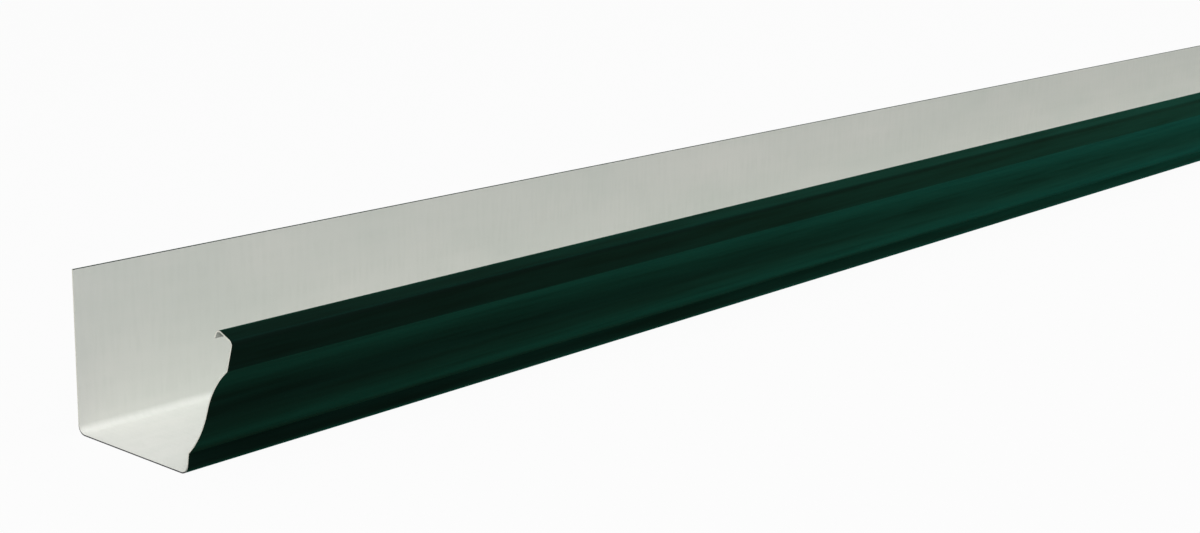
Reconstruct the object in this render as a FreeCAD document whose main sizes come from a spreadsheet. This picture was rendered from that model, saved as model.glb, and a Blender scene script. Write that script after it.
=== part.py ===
import FreeCAD, Part
import math
import os

import Sketcher
from FreeCAD import Placement, Rotation, Vector

# A 5 in ogee ("K-style") eaves gutter: one 10 ft stock length, roll-formed from a single strip of
# prepainted aluminium. Millimetres and degrees.
#
# +X runs along the gutter, +Y is the flat back that goes against the fascia, -Y the moulded front
# and +Z up. The origin is on the underside of the floor, at mid-length and mid-width.
#
# The section is one path, drawn along the sheet's outer face from the top of the back wall, down,
# under the trough, up the moulded front and over the lip to the free edge of its return. As on a
# roll-former, it is given by its straights and by the radius and turn of each bend. A bend's radius
# is always that of its inner side, so it holds for any gauge.
SIZES = {
    "gutter_length": 3048.0,  # 10 ft
    "top_width": 127.0,  # 5 in, from the back face to the front of the lip
    "back_height": 88.9,  # 3 1/2 in
    "sheet_gauge": 0.7,
    "back_bend_radius": 4.3,
    "front_bend_radius": 4.8,
    "front_bend_turn": 81.0,
    "riser_length": 7.0,
    "lower_fold_radius": 0.8,
    "lower_fold_turn": 36.5,
    "bulge_radius": 58.6,
    "bulge_turn": 28.5,
    "cove_radius": 49.2,
    "cove_turn": 33.0,
    "upper_fold_radius": 0.8,
    "upper_fold_turn": 34.2,
    "band_length": 13.1,
    "top_bend_radius": 2.1,
    "top_bend_turn": 82.0,
    "lip_length": 6.8,
    "ridge_radius": 2.4,
    "ridge_turn": 91.5,
    "return_length": 2.4,
}
SQUARE = 90.0  # the back bend's turn, between a plumb back and a level floor

# The section in order. INWARD bends fold the sheet towards the trough, so the outer face runs round
# their outside, and OUTWARD bends fold it away, so the outer face is their inner side. The back and
# the floor take the length that the back height and the top width leave for them.
STRAIGHT, INWARD, OUTWARD = "straight", "inward", "outward"
SECTION = {
    "back": STRAIGHT,
    "back_bend": INWARD,
    "floor": STRAIGHT,
    "front_bend": INWARD,
    "riser": STRAIGHT,
    "lower_fold": OUTWARD,
    "bulge": INWARD,
    "cove": OUTWARD,
    "upper_fold": INWARD,
    "band": STRAIGHT,
    "top_bend": INWARD,
    "lip": STRAIGHT,
    "ridge": INWARD,
    "return": STRAIGHT,
}

# How a sketch refers to an edge's points, its own origin and its horizontal axis.
START, END, CENTRE = 1, 2, 3
ORIGIN = (-1, 1)
GROUND_LINE = -1


def make_sheet(doc):
    """The driving dimensions, one named cell each."""
    sheet = doc.addObject("Spreadsheet::Sheet", "Sizes")
    for row, (name, value) in enumerate(SIZES.items(), start=1):
        sheet.set(f"A{row}", name)
        sheet.set(f"B{row}", str(value))
        sheet.setAlias(f"B{row}", name)
    doc.recompute()


def outer_radius(name):
    """A bend's radius on the sheet's outer face: its value and its expression."""
    if SECTION[name] == INWARD:
        return SIZES[f"{name}_radius"] + SIZES["sheet_gauge"], f"Sizes.{name}_radius + Sizes.sheet_gauge"
    return SIZES[f"{name}_radius"], f"Sizes.{name}_radius"


def bend_turn(name):
    """How far a bend turns, in degrees."""
    return SQUARE if name == "back_bend" else SIZES[f"{name}_turn"]


def direction(angle):
    return Vector(math.cos(angle), math.sin(angle), 0)


def walk(floor_length):
    """The section's edges, laid out from the top of the back wall for a floor of this length."""
    given = {"back": SIZES["back_height"] - outer_radius("back_bend")[0], "floor": floor_length}
    point = Vector(SIZES["top_width"] / 2, SIZES["back_height"], 0)
    heading = math.radians(-SQUARE)
    edges = {}
    for name, kind in SECTION.items():
        if kind == STRAIGHT:
            run = given[name] if name in given else SIZES[f"{name}_length"]
            ahead = point + direction(heading) * run
            edges[name] = Part.LineSegment(point, ahead)
        else:
            side = -1 if kind == INWARD else 1
            turn = side * math.radians(bend_turn(name))
            radius = outer_radius(name)[0]
            begin = heading - side * math.radians(SQUARE)
            centre = point - direction(begin) * radius
            first, last = sorted((begin, begin + turn))
            edges[name] = Part.ArcOfCircle(Part.Circle(centre, Vector(0, 0, 1), radius), first, last)
            ahead = centre + direction(begin + turn) * radius
            heading += turn
        point = ahead
    return edges


def laid_out_section():
    """The section's edges, with the floor as long as the rest of the top width leaves for it."""
    trial = SIZES["top_width"]
    top_bend = walk(trial)["top_bend"]
    too_wide = top_bend.Radius - top_bend.Center.x - SIZES["top_width"] / 2
    return walk(trial - too_wide)


def draw_section(doc):
    """The outer face of the sheet as one open, fully constrained sketch across the gutter."""
    sketch = doc.addObject("Sketcher::SketchObject", "OuterFace")
    sketch.Placement = Placement(Vector(), Rotation(Vector(1, 1, 1), 120))  # its x to +Y, its y to +Z

    def rule(*definition):
        return sketch.addConstraint(Sketcher.Constraint(*definition))

    def dimension(name, expression, *definition):
        sketch.renameConstraint(rule(*definition), name)
        sketch.setExpression(f"Constraints.{name}", expression)

    edges = {name: sketch.addGeometry(edge) for name, edge in laid_out_section().items()}
    names = list(SECTION)
    for before, after in zip(names, names[1:]):
        leaves = START if SECTION[before] == INWARD else END
        enters = END if SECTION[after] == INWARD else START
        rule("Tangent", edges[before], leaves, edges[after], enters)

    # Where it stands: plumb back, level floor, and half the top width to either side.
    half, height = SIZES["top_width"] / 2, SIZES["back_height"]
    rule("Vertical", edges["back"])
    rule("Horizontal", edges["floor"])
    rule("PointOnObject", edges["floor"], START, GROUND_LINE)
    dimension("back_height", "Sizes.back_height", "DistanceY", *ORIGIN, edges["back"], START, height)
    dimension("back_place", "Sizes.top_width / 2", "DistanceX", *ORIGIN, edges["back"], START, half)
    radius, expression = outer_radius("top_bend")
    front = ("DistanceX", edges["top_bend"], CENTRE, *ORIGIN, half - radius)
    dimension("front_place", f"Sizes.top_width / 2 - ({expression})", *front)

    for name, kind in SECTION.items():
        if kind == STRAIGHT:
            length = f"{name}_length"
            if length in SIZES:
                dimension(length, f"Sizes.{length}", "Distance", edges[name], SIZES[length])
            continue
        radius, expression = outer_radius(name)
        dimension(f"{name}_radius", expression, "Radius", edges[name], radius)
        turn = f"{name}_turn"
        if turn in SIZES:
            dimension(turn, f"Sizes.{turn}", "Angle", edges[name], math.radians(SIZES[turn]))
    doc.recompute()
    if not sketch.FullyConstrained:
        raise RuntimeError("the section is not fully constrained")
    return sketch


def form_gutter(doc, outer_face):
    """The sheet: its outer face thickened towards the trough and run out to the stock length."""
    section = doc.addObject("Part::Offset2D", "SheetSection")
    section.Source = outer_face
    section.Mode = "Skin"
    section.Fill = True
    section.setExpression("Value", "Sizes.sheet_gauge")

    gutter = doc.addObject("Part::Extrusion", "GutterSection")
    gutter.Label = "gutter_section"
    gutter.Base = section
    gutter.DirMode = "Custom"
    gutter.Dir = Vector(1, 0, 0)
    gutter.Solid = True
    gutter.Symmetric = True
    gutter.setExpression("LengthFwd", "Sizes.gutter_length")
    return gutter


def check(doc, pieces):
    """Stops unless every object recomputed and every piece is one sound solid."""
    for item in doc.Objects:
        if "Invalid" in item.State or "Error" in item.State:
            raise RuntimeError(f"{item.Label}: {item.State}")
    for piece in pieces:
        shape = piece.Shape
        if shape.isNull() or not shape.isValid() or len(shape.Solids) != 1:
            raise RuntimeError(f"{piece.Label} is not one valid solid")
        strip = shape.Volume / (SIZES["gutter_length"] * SIZES["sheet_gauge"])
        print(f"{piece.Label}: from a strip {strip:.1f} mm wide, {shape.BoundBox}")


doc = FreeCAD.newDocument("ogee_gutter")
make_sheet(doc)
pieces = [form_gutter(doc, draw_section(doc))]
doc.recompute()
check(doc, pieces)
os.makedirs("parts", exist_ok=True)
for piece in pieces:
    piece.Shape.exportStep(f"parts/{piece.Label}.step")
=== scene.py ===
"""A length of ogee rain gutter, roll-formed from one prepainted sheet.

The sheet is green enamel outside, a cream backer coat inside and bare metal where it was cut.
"""

from math import cos, pi, radians, sin

import bpy
from mathutils import Matrix, Vector


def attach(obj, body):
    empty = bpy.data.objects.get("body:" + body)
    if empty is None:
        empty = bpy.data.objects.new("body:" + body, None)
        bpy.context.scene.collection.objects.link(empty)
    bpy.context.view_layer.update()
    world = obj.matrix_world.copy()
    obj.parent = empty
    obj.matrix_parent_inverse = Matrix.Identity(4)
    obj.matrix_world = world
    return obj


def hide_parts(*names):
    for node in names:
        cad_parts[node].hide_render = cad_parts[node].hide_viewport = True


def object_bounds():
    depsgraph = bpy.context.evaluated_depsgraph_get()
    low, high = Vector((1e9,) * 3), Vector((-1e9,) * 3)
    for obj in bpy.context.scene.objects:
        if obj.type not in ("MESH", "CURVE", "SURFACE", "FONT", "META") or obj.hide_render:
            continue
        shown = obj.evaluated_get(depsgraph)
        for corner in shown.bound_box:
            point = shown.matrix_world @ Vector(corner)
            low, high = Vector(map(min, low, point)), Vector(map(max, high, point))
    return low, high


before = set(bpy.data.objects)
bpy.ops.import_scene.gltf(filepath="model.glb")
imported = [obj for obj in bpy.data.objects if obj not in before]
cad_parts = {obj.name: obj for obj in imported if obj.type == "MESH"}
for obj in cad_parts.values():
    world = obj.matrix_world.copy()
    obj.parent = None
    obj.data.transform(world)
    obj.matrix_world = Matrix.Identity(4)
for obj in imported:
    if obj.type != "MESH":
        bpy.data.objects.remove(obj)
cad_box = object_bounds()

# Lengths are in metres. The outer sizes are the solid's, to a hundredth of a millimetre.
GUTTER_LENGTH, TOP_WIDTH, BACK_HEIGHT = (round(high - low, 5) for low, high in zip(*cad_box))
SHEET_GAUGE = 0.0007
BACK_BEND = 0.0043
BACK_FLAT = BACK_HEIGHT - BACK_BEND - SHEET_GAUGE

# The sheet's outer face as the rollers leave it, from the back wall's foot to the return.
# A bend is its side, the outer face's radius, its turn in degrees and its steps.
# A flat is its width and its cuts.
INWARD, OUTWARD = 1, -1
SECTION_WALK = [
    ("bend", INWARD, BACK_BEND + SHEET_GAUGE, 90.0, 12),  # back wall into floor
    ("flat", 0.08052, 4),  # floor
    ("bend", INWARD, 0.0048 + SHEET_GAUGE, 81.0, 12),  # floor into riser
    ("flat", 0.0070, 1),  # riser
    ("bend", OUTWARD, 0.0008, 36.5, 4),  # lower fold
    ("bend", INWARD, 0.0586 + SHEET_GAUGE, 28.5, 18),  # bulge of the ogee
    ("bend", OUTWARD, 0.0492, 33.0, 18),  # cove of the ogee
    ("bend", INWARD, 0.0008 + SHEET_GAUGE, 34.2, 4),  # upper fold
    ("flat", 0.0131, 2),  # face band
    ("bend", INWARD, 0.0021 + SHEET_GAUGE, 82.0, 10),  # band into lip
    ("flat", 0.0068, 1),  # lip that carries the hangers
    ("bend", INWARD, 0.0024 + SHEET_GAUGE, 91.5, 10),  # ridge of the lip
    ("flat", 0.0024, 1),  # return under the lip
]
COAT_WRAP = 0.0003  # how far the green coat runs over the slit edge, down inside the back wall
CROSS_CUTS = 96  # divisions along the gutter
WALL_CUTS = 4  # divisions up the back wall
SHADING_STRIP = 0.0006  # narrow strip beside a bend, so that the flat next to it shades flat
SAME_PLACE = 1e-6
SHARP_EDGE = 30  # degrees


# ---------------------------------------------------------------- camera

def hang_camera():
    """Stands off the near end, a little above the rim, and looks along the gutter."""
    view = bpy.data.cameras.new("bench_camera")
    view.lens = 57.29
    view.sensor_width = 36.0
    camera = bpy.data.objects.new("bench_camera", view)
    bpy.context.scene.collection.objects.link(camera)
    right = Vector((0.64587, -0.76305, 0.02462))
    up = Vector((0.16790, 0.17343, 0.97043))
    ahead = Vector((0.74476, 0.62264, -0.24013))
    stand = Matrix.Translation((-2.0776, -0.7519, 0.3318))
    camera.matrix_world = stand @ Matrix((right, up, -ahead)).transposed().to_4x4()
    bpy.context.scene.camera = camera


# ---------------------------------------------------------------- modelling

def start_clean():
    if bpy.context.object and bpy.context.object.mode != "OBJECT":
        bpy.ops.object.mode_set(mode="OBJECT")
    bpy.ops.object.select_all(action="DESELECT")


def cut_back_wall():
    """The flat back wall, its outer face on the fascia side, cut where the green coat ends."""
    start_clean()
    bpy.ops.mesh.primitive_grid_add(
        x_subdivisions=CROSS_CUTS,
        y_subdivisions=WALL_CUTS,
        size=1,
        location=(0, TOP_WIDTH / 2, BACK_HEIGHT - BACK_FLAT / 2),
        rotation=(pi / 2, 0, 0),
    )
    gutter = bpy.context.object
    gutter.name = gutter.data.name = "rolled_gutter"
    gutter.scale = (GUTTER_LENGTH, BACK_FLAT, 1)
    bpy.ops.object.transform_apply(location=True, rotation=True, scale=True)
    bpy.ops.object.mode_set(mode="EDIT")
    bpy.ops.mesh.bisect(plane_co=(0, 0, BACK_HEIGHT - COAT_WRAP), plane_no=(0, 0, 1))
    return gutter


def select_foot(gutter, foot):
    """Selects the back wall's lower edge, where the rest of the sheet starts."""
    bpy.ops.mesh.select_mode(type="EDGE")
    bpy.ops.mesh.select_all(action="DESELECT")
    bpy.ops.object.mode_set(mode="OBJECT")
    points = gutter.data.vertices
    for edge in gutter.data.edges:
        edge.select = all(abs(points[end].co.z - foot) < SAME_PLACE for end in edge.vertices)
    bpy.ops.object.mode_set(mode="EDIT")


def bend_sheet(heading, place, side, radius, turn, steps):
    """Spins the sheet's open edge round the bend's own centre."""
    across = Vector((sin(heading), -cos(heading))) * side
    centre = place + across * radius
    bpy.ops.mesh.spin(
        steps=steps,
        angle=radians(turn) * side,
        center=(0, centre.x, centre.y),
        axis=(1, 0, 0),
    )
    heading -= radians(turn) * side
    place = centre - Vector((sin(heading), -cos(heading))) * side * radius
    return heading, place


def run_flat(heading, place, width, cuts):
    """Extrudes the open edge straight on, with a narrow strip beside each bend."""
    margin = min(SHADING_STRIP, width / 5)
    strips = [margin] + [(width - 2 * margin) / cuts] * cuts + [margin]
    for strip in strips:
        step = Vector((cos(heading), sin(heading))) * strip
        bpy.ops.mesh.extrude_region_move(TRANSFORM_OT_translate={"value": (0, step.x, step.y)})
        place = place + step
    return heading, place


def close_seams(gutter):
    """Merges the rows that meet and turns every face outwards."""
    bpy.ops.mesh.select_all(action="SELECT")
    bpy.ops.mesh.remove_doubles(threshold=SAME_PLACE)
    bpy.ops.mesh.normals_make_consistent(inside=False)
    bpy.ops.object.mode_set(mode="OBJECT")
    back_face = max(gutter.data.polygons, key=lambda face: face.center.y)
    if back_face.normal.y < 0:
        bpy.ops.object.mode_set(mode="EDIT")
        bpy.ops.mesh.flip_normals()
        bpy.ops.object.mode_set(mode="OBJECT")


def give_gauge(gutter):
    """Thickens the sheet inwards and coats it: outside green, inside cream, ends bare."""
    outside, inside, edges = range(3)
    wall = gutter.modifiers.new("wall", "SOLIDIFY")
    wall.thickness = SHEET_GAUGE
    wall.offset = -1
    wall.use_even_offset = True
    wall.material_offset = inside
    wall.material_offset_rim = edges
    for finish in (green_enamel(), cream_backer(), sheared_edge()):
        gutter.data.materials.append(finish)
    bpy.ops.object.modifier_apply(modifier="wall")
    for face in gutter.data.polygons:
        slit_edge = face.material_index == edges and abs(face.normal.x) < 0.5
        wrapped = face.material_index == inside and face.center.z > BACK_HEIGHT - COAT_WRAP
        if slit_edge or wrapped:
            face.material_index = outside
    bpy.ops.object.shade_smooth_by_angle(angle=radians(SHARP_EDGE))


def roll_gutter():
    gutter = cut_back_wall()
    foot = BACK_HEIGHT - BACK_FLAT
    select_foot(gutter, foot)
    heading, place = radians(-90), Vector((TOP_WIDTH / 2, foot))
    for kind, *size in SECTION_WALK:
        shape = bend_sheet if kind == "bend" else run_flat
        heading, place = shape(heading, place, *size)
    close_seams(gutter)
    give_gauge(gutter)
    return gutter


# ---------------------------------------------------------------- nodes

def feed(links, value, socket):
    """Links another node's output to a socket, or sets the socket's own number or colour."""
    if isinstance(value, bpy.types.NodeSocket):
        links.new(value, socket)
    elif socket.type == "RGBA":
        socket.default_value = (*value, 1)
    else:
        socket.default_value = value


def object_place(nodes):
    return nodes.new("ShaderNodeTexCoord").outputs["Object"]


def add_noise(nodes, links, stretch, scale, detail):
    """Noise over the sheet. A small stretch along an axis draws it out that way."""
    mapping = nodes.new("ShaderNodeMapping")
    mapping.inputs["Scale"].default_value = stretch
    links.new(object_place(nodes), mapping.inputs["Vector"])
    noise = nodes.new("ShaderNodeTexNoise")
    feed(links, scale, noise.inputs["Scale"])
    noise.inputs["Detail"].default_value = detail
    links.new(mapping.outputs["Vector"], noise.inputs["Vector"])
    return noise.outputs["Fac"]


def spread(nodes, links, value, start, end, low=0.0, high=1.0):
    """Spreads what a value does between start and end over low to high."""
    ramp = nodes.new("ShaderNodeMapRange")
    ramp.inputs["From Min"].default_value = start
    ramp.inputs["From Max"].default_value = end
    ramp.inputs["To Min"].default_value = low
    ramp.inputs["To Max"].default_value = high
    links.new(value, ramp.inputs["Value"])
    return ramp.outputs["Result"]


def vary(nodes, links, mask, low, high):
    """Turns a mask into a value that goes from low to high."""
    return spread(nodes, links, mask, 0, 1, low, high)


def blend_tones(nodes, links, mask, first, second):
    """Goes from the first tone to the second with the mask. Either may be a node's colour."""
    tones = nodes.new("ShaderNodeMix")
    tones.data_type = "RGBA"
    links.new(mask, tones.inputs["Factor"])
    feed(links, first, tones.inputs["A"])
    feed(links, second, tones.inputs["B"])
    return next(socket for socket in tones.outputs if socket.type == "RGBA")


def combine(nodes, links, operation, first, second):
    maths = nodes.new("ShaderNodeMath")
    maths.operation = operation
    feed(links, first, maths.inputs[0])
    feed(links, second, maths.inputs[1])
    return maths.outputs[0]


def raise_surface(nodes, links, height, depth, under=None):
    """Raises the surface by a height map, over what another one has already raised."""
    bump = nodes.new("ShaderNodeBump")
    bump.inputs["Distance"].default_value = depth
    links.new(height, bump.inputs["Height"])
    if under:
        links.new(under, bump.inputs["Normal"])
    return bump.outputs["Normal"]


# ---------------------------------------------------------------- shared effects

def new_group(name, inputs, outputs):
    """A shared effect: a shader group with its own named inputs and outputs."""
    group = bpy.data.node_groups.new(name, "ShaderNodeTree")
    sockets = group.interface
    for label, usual in inputs.items():
        given = sockets.new_socket(name=label, in_out="INPUT", socket_type="NodeSocketFloat")
        given.default_value = usual
    for label in outputs:
        sockets.new_socket(name=label, in_out="OUTPUT", socket_type="NodeSocketFloat")
    given = group.nodes.new("NodeGroupInput").outputs
    out = group.nodes.new("NodeGroupOutput").inputs
    return group, group.nodes, group.links, given, out


def roller_marks():
    """Long faint marks that the roll former leaves along the sheet."""
    group, nodes, links, given, out = new_group(
        "roller_marks", {"Marks Across": 90.0}, ("Marks", "Height")
    )
    marks = add_noise(nodes, links, (0.05, 1, 1), given["Marks Across"], 4)
    links.new(spread(nodes, links, marks, 0.32, 0.68), out["Marks"])
    links.new(marks, out["Height"])
    return group


def coil_coat():
    """The skin of a coil-coated paint: soft clouds of thicker paint, and fine orange peel."""
    group, nodes, links, given, out = new_group(
        "coil_coat", {"Cloud Size": 9.0, "Peel Size": 700.0}, ("Cloud", "Peel")
    )
    cloud = add_noise(nodes, links, (0.4, 1, 1), given["Cloud Size"], 4)
    links.new(spread(nodes, links, cloud, 0.3, 0.7), out["Cloud"])
    links.new(add_noise(nodes, links, (1, 1, 1), given["Peel Size"], 2), out["Peel"])
    return group


def sheet_waves():
    """The slight waves of thin sheet that the rollers have worked."""
    group, nodes, links, given, out = new_group("sheet_waves", {"Wave Size": 7.0}, ("Waves",))
    links.new(add_noise(nodes, links, (0.7, 1.6, 1.6), given["Wave Size"], 1), out["Waves"])
    return group


EFFECTS = {}


def effect(nodes, maker, **settings):
    """Places a shared effect in a material, with the material's own values."""
    if maker not in EFFECTS:
        EFFECTS[maker] = maker()
    node = nodes.new("ShaderNodeGroup")
    node.node_tree = EFFECTS[maker]
    for label, number in settings.items():
        node.inputs[label.replace("_", " ")].default_value = number
    return node.outputs


# ---------------------------------------------------------------- finishes

def new_finish(name):
    finish = bpy.data.materials.new(name)
    finish.use_nodes = True
    nodes, links = finish.node_tree.nodes, finish.node_tree.links
    nodes.clear()
    out = nodes.new("ShaderNodeOutputMaterial")
    paint = nodes.new("ShaderNodeBsdfPrincipled")
    links.new(paint.outputs["BSDF"], out.inputs["Surface"])
    return finish, nodes, links, paint.inputs


def green_enamel():
    """Dark green top coat, semi-gloss, with a lighter and duller tone along the roller marks."""
    thin, thick = (0.0024, 0.0061, 0.0046), (0.0032, 0.0086, 0.0066)
    rubbed = (0.0036, 0.0114, 0.0088)
    finish, nodes, links, paint = new_finish("green_enamel")
    marks = effect(nodes, roller_marks, Marks_Across=200.0)
    coat = effect(nodes, coil_coat, Cloud_Size=28.0, Peel_Size=650.0)
    waves = effect(nodes, sheet_waves, Wave_Size=8.0)

    clouds = blend_tones(nodes, links, coat["Cloud"], thin, thick)
    share = vary(nodes, links, marks["Marks"], 0, 0.6)
    links.new(blend_tones(nodes, links, share, clouds, rubbed), paint["Base Color"])
    links.new(vary(nodes, links, marks["Marks"], 0.28, 0.39), paint["Roughness"])
    links.new(vary(nodes, links, marks["Marks"], 0.17, 0.31), paint["Metallic"])

    waved = raise_surface(nodes, links, waves["Waves"], 0.0009)
    rolled = raise_surface(nodes, links, marks["Height"], 0.0001, under=waved)
    peeled = raise_surface(nodes, links, coat["Peel"], 0.00001, under=rolled)
    links.new(peeled, paint["Normal"])

    paint["Specular IOR Level"].default_value = 0.0
    paint["Specular Tint"].default_value = (0.01, 0.88, 0.73, 1)
    paint["Sheen Weight"].default_value = 0.036
    paint["Sheen Roughness"].default_value = 0.45
    paint["Sheen Tint"].default_value = (0.70, 1.0, 0.48, 1)
    return finish


def cream_backer():
    """Off-white backer coat, satin, with faint clouds and upright chatter on the roller marks."""
    thin, thick = (0.656, 0.680, 0.638), (0.716, 0.720, 0.682)
    rubbed = (0.560, 0.590, 0.540)
    upright_stretch, chatter_size = (1, 0.2, 0.12), 330
    finish, nodes, links, paint = new_finish("cream_backer")
    marks = effect(nodes, roller_marks, Marks_Across=130.0)
    coat = effect(nodes, coil_coat, Cloud_Size=24.0, Peel_Size=750.0)
    waves = effect(nodes, sheet_waves, Wave_Size=8.0)

    clouds = blend_tones(nodes, links, coat["Cloud"], thin, thick)
    chatter = add_noise(nodes, links, upright_stretch, chatter_size, 1)
    upright = spread(nodes, links, chatter, 0.42, 0.62, 0.12, 1)
    along = vary(nodes, links, marks["Marks"], 0.1, 1)
    streaks = combine(nodes, links, "MULTIPLY", upright, along)
    share = vary(nodes, links, streaks, 0, 0.2)
    links.new(blend_tones(nodes, links, share, clouds, rubbed), paint["Base Color"])
    links.new(vary(nodes, links, marks["Marks"], 0.42, 0.56), paint["Roughness"])

    waved = raise_surface(nodes, links, waves["Waves"], 0.0006)
    links.new(raise_surface(nodes, links, coat["Peel"], 0.00004, under=waved), paint["Normal"])

    paint["Specular IOR Level"].default_value = 0.3
    return finish


def sheared_edge():
    """Bare metal where the length was cut off, with painted shade darkening it along the bottom
    that it stands on.
    """
    dull, bright = (0.70, 0.70, 0.62), (0.82, 0.81, 0.72)
    # painted contact shade: the cut edge turns dark towards the bottom, where it meets the floor
    painted_contact_shade = (0.035, 0.035, 0.04)
    contact_shade_from, contact_shade_to = 0.0008, 0.006
    finish, nodes, links, paint = new_finish("sheared_edge")
    marks = effect(nodes, roller_marks, Marks_Across=900.0)
    coat = effect(nodes, coil_coat, Cloud_Size=120.0, Peel_Size=2500.0)

    clean = blend_tones(nodes, links, coat["Cloud"], dull, bright)
    place = nodes.new("ShaderNodeSeparateXYZ")
    links.new(object_place(nodes), place.inputs["Vector"])
    # painted shade by height: dark below the first of these heights, clean metal above the second
    height = spread(nodes, links, place.outputs["Z"], contact_shade_from, contact_shade_to)
    links.new(blend_tones(nodes, links, height, painted_contact_shade, clean), paint["Base Color"])
    links.new(vary(nodes, links, marks["Marks"], 0.38, 0.55), paint["Roughness"])
    links.new(raise_surface(nodes, links, coat["Peel"], 0.00003), paint["Normal"])

    paint["Metallic"].default_value = 0.5
    return finish


# ---------------------------------------------------------------- stage

FLOOR_SIZE = 80
FLOOR_GAP = 0.0003  # keeps the floor's face clear of the gutter's
FLOOR_GREY = (0.35, 0.35, 0.35)
FLOOR_WHITE = 0.96  # the rest of what the camera sees of the floor takes the gutter's shadow
FILL_LIGHT = 0.33


def seen_directly(nodes, links):
    """1 for what the camera sees itself, in a gloss or through glass."""
    path = nodes.new("ShaderNodeLightPath").outputs
    seen = combine(nodes, links, "MAXIMUM", path["Is Camera Ray"], path["Is Glossy Ray"])
    return combine(nodes, links, "MAXIMUM", seen, path["Is Transmission Ray"])


def mix_shaders(nodes, links, share, first, second):
    mixed = nodes.new("ShaderNodeMixShader")
    links.new(share, mixed.inputs["Fac"])
    links.new(first.outputs[0], mixed.inputs[1])
    links.new(second.outputs[0], mixed.inputs[2])
    return mixed


def lay_floor():
    """White paper that keeps a faint shadow, clear from below."""
    start_clean()
    bpy.ops.mesh.primitive_plane_add(size=FLOOR_SIZE, location=(0, 0, -FLOOR_GAP))
    floor = bpy.context.object
    floor.name = "studio_floor"
    bpy.ops.object.transform_apply(location=True)
    paper = bpy.data.materials.new("white_paper")
    paper.use_nodes = True
    nodes, links = paper.node_tree.nodes, paper.node_tree.links
    nodes.clear()
    out = nodes.new("ShaderNodeOutputMaterial")
    matt = nodes.new("ShaderNodeBsdfDiffuse")
    feed(links, FLOOR_GREY, matt.inputs["Color"])
    white = nodes.new("ShaderNodeEmission")
    share = combine(nodes, links, "MULTIPLY", seen_directly(nodes, links), FLOOR_WHITE)
    lit = mix_shaders(nodes, links, share, matt, white)
    underside = nodes.new("ShaderNodeNewGeometry").outputs["Backfacing"]
    clear = nodes.new("ShaderNodeBsdfTransparent")
    sided = mix_shaders(nodes, links, underside, lit, clear)
    links.new(sided.outputs[0], out.inputs["Surface"])
    floor.data.materials.append(paper)


def light_world():
    """A soft fill from all round, white where it is seen."""
    world = bpy.data.worlds.new("studio")
    bpy.context.scene.world = world
    world.use_nodes = True
    nodes, links = world.node_tree.nodes, world.node_tree.links
    nodes.clear()
    out = nodes.new("ShaderNodeOutputWorld")
    fill, white = nodes.new("ShaderNodeBackground"), nodes.new("ShaderNodeBackground")
    for light, strength in ((fill, FILL_LIGHT), (white, 1.0)):
        light.inputs["Color"].default_value = (1, 1, 1, 1)
        light.inputs["Strength"].default_value = strength
    mixed = mix_shaders(nodes, links, seen_directly(nodes, links), fill, white)
    links.new(mixed.outputs[0], out.inputs["Surface"])


def hang_softbox(name, place, aim, size, watts):
    lamp = bpy.data.lights.new(name, "AREA")
    lamp.shape = "RECTANGLE"
    lamp.size, lamp.size_y = size
    lamp.energy = watts
    box = bpy.data.objects.new(name, lamp)
    bpy.context.scene.collection.objects.link(box)
    box.location = place
    box.rotation_euler = (Vector(aim) - Vector(place)).to_track_quat("-Z", "Y").to_euler()


# ---------------------------------------------------------------- scene

hang_camera()
gutter = roll_gutter()
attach(gutter, "root")
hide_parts("gutter_section")

lay_floor()
light_world()
hang_softbox("near_softbox", place=(-2.5, -1.0, 1.5), aim=(-1.4, 0, 0), size=(1.4, 1.0), watts=27)
hang_softbox("far_softbox", place=(0.3, -0.6, 2.0), aim=(0.2, 0, 0), size=(2.0, 1.4), watts=31)

bpy.context.scene.view_settings.view_transform = "Standard"
